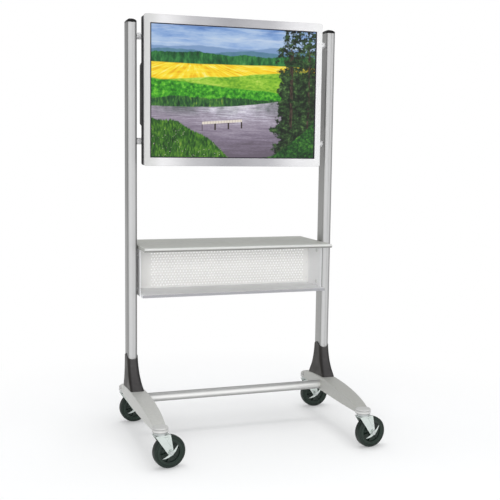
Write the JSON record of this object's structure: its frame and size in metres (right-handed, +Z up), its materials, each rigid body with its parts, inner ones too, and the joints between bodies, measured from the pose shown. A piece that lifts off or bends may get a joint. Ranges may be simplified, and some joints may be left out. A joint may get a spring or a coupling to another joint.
{
  "type": "mobile display cart",
  "caption": "Rolling stand with two upright posts, a flat display on rails, a shelf with an open perforated-back compartment, arched feet and braked swivel casters.",
  "frame": {"origin": "on the floor, at the middle of the whole outline seen from above", "axes": "+Z up, -Y towards the front of the display, +X to the right of someone facing it"},
  "size_m": [0.9874, 0.712, 1.73],
  "materials": {
    "post_silver": "satin anodised silver",
    "cap_black": "matt moulded",
    "boot_charcoal": "matt charcoal moulding",
    "foot_cast": "silver coated casting",
    "tube_silver": "silver paint, satin",
    "rail_steel": "silver paint, satin",
    "zinc": "bright zinc plate",
    "frame_silver": "silver lacquer",
    "screen_glass": "flat screen with a printed landscape picture",
    "display_black": "matt black moulding",
    "module_grey": "plain",
    "board_green": "lacquered board",
    "hook_steel": "grey paint",
    "board_grey": "grey laminate over particle board",
    "trim_light": "light grey edge trim",
    "panel_grey": "light grey powder coat",
    "spacer_black": "black nylon",
    "rivet_steel": "bright",
    "fork_chrome": "bright zinc-chrome pressing",
    "core_dark": "dark moulded wheel core",
    "tyre_dark": "dark grey-green rubber"
  },
  "bodies": {
    "cart": {"left_post": "post_silver", "right_post": "post_silver", "left_post_cap": "cap_black", "right_post_cap": "cap_black", "left_boot": "boot_charcoal", "right_boot": "boot_charcoal", "left_foot": "foot_cast", "right_foot": "foot_cast", "crossbar": "tube_silver", "upper_rail": "rail_steel", "lower_rail": "rail_steel", "post_bolts": "zinc", "rail_screws": "zinc", "display_frame": "frame_silver", "display_screen": "screen_glass", "display_shell": "display_black", "display_housing": "display_black", "display_module": "module_grey", "circuit_board": "board_green", "board_spacers": "zinc", "upper_left_hook": "hook_steel", "upper_right_hook": "hook_steel", "lower_left_hook": "hook_steel", "lower_right_hook": "hook_steel", "hook_screws": "zinc", "shelf_board": "board_grey", "shelf_front_trim": "trim_light", "left_side_panel": "panel_grey", "right_side_panel": "panel_grey", "perforated_panel": "panel_grey", "lower_shelf": "panel_grey", "shelf_spacers": "spacer_black", "shelf_bolts": "zinc", "board_screws": "zinc", "sheet_rivets": "rivet_steel", "caster_stems": "zinc"},
    "front_left_swivel": {"front_left_fork": "fork_chrome", "front_left_race": "zinc", "front_left_axle": "zinc"},
    "front_left_wheel": {"front_left_core": "core_dark", "front_left_tyre": "tyre_dark"},
    "front_left_brake": {"front_left_lever": "fork_chrome"},
    "front_right_swivel": {"front_right_fork": "fork_chrome", "front_right_race": "zinc", "front_right_axle": "zinc"},
    "front_right_wheel": {"front_right_core": "core_dark", "front_right_tyre": "tyre_dark"},
    "front_right_brake": {"front_right_lever": "fork_chrome"},
    "rear_left_swivel": {"rear_left_fork": "fork_chrome", "rear_left_race": "zinc", "rear_left_axle": "zinc"},
    "rear_left_wheel": {"rear_left_core": "core_dark", "rear_left_tyre": "tyre_dark"},
    "rear_left_brake": {"rear_left_lever": "fork_chrome"},
    "rear_right_swivel": {"rear_right_fork": "fork_chrome", "rear_right_race": "zinc", "rear_right_axle": "zinc"},
    "rear_right_wheel": {"rear_right_core": "core_dark", "rear_right_tyre": "tyre_dark"},
    "rear_right_brake": {"rear_right_lever": "fork_chrome"}
  },
  "joints": [
    {"name": "front_left_swivel_turn", "type": "hinge", "parent": "cart", "child": "front_left_swivel", "pos_m": [-0.45422, -0.32498, 0.138], "axis": [0, 0, 1], "continuous": true},
    {"name": "front_left_wheel_spin", "type": "hinge", "parent": "front_left_swivel", "child": "front_left_wheel", "pos_m": [-0.41956, -0.32011, 0.0635], "axis": [-0.1392, 0.9903, 0], "continuous": true},
    {"name": "front_left_brake_rock", "type": "hinge", "parent": "front_left_swivel", "child": "front_left_brake", "pos_m": [-0.41956, -0.32011, 0.0635], "axis": [-0.1392, 0.9903, 0], "range_deg": [0, 16]},
    {"name": "front_right_swivel_turn", "type": "hinge", "parent": "cart", "child": "front_right_swivel", "pos_m": [0.38672, -0.32498, 0.138], "axis": [0, 0, 1], "continuous": true},
    {"name": "front_right_wheel_spin", "type": "hinge", "parent": "front_right_swivel", "child": "front_right_wheel", "pos_m": [0.42137, -0.32011, 0.0635], "axis": [-0.1392, 0.9903, 0], "continuous": true},
    {"name": "front_right_brake_rock", "type": "hinge", "parent": "front_right_swivel", "child": "front_right_brake", "pos_m": [0.42137, -0.32011, 0.0635], "axis": [-0.1392, 0.9903, 0], "range_deg": [0, 16]},
    {"name": "rear_left_swivel_turn", "type": "hinge", "parent": "cart", "child": "rear_left_swivel", "pos_m": [-0.46273, 0.28496, 0.138], "axis": [0, 0, 1], "continuous": true},
    {"name": "rear_left_wheel_spin", "type": "hinge", "parent": "rear_left_swivel", "child": "rear_left_wheel", "pos_m": [-0.42782, 0.28741, 0.0635], "axis": [-0.0698, 0.9976, 0], "continuous": true},
    {"name": "rear_left_brake_rock", "type": "hinge", "parent": "rear_left_swivel", "child": "rear_left_brake", "pos_m": [-0.42782, 0.28741, 0.0635], "axis": [-0.0698, 0.9976, 0], "range_deg": [0, 16]},
    {"name": "rear_right_swivel_turn", "type": "hinge", "parent": "cart", "child": "rear_right_swivel", "pos_m": [0.39523, 0.28496, 0.138], "axis": [0, 0, 1], "continuous": true},
    {"name": "rear_right_wheel_spin", "type": "hinge", "parent": "rear_right_swivel", "child": "rear_right_wheel", "pos_m": [0.43023, 0.28496, 0.0635], "axis": [0, 1, 0], "continuous": true},
    {"name": "rear_right_brake_rock", "type": "hinge", "parent": "rear_right_swivel", "child": "rear_right_brake", "pos_m": [0.43023, 0.28496, 0.0635], "axis": [0, 1, 0], "range_deg": [0, 16]}
  ]
}
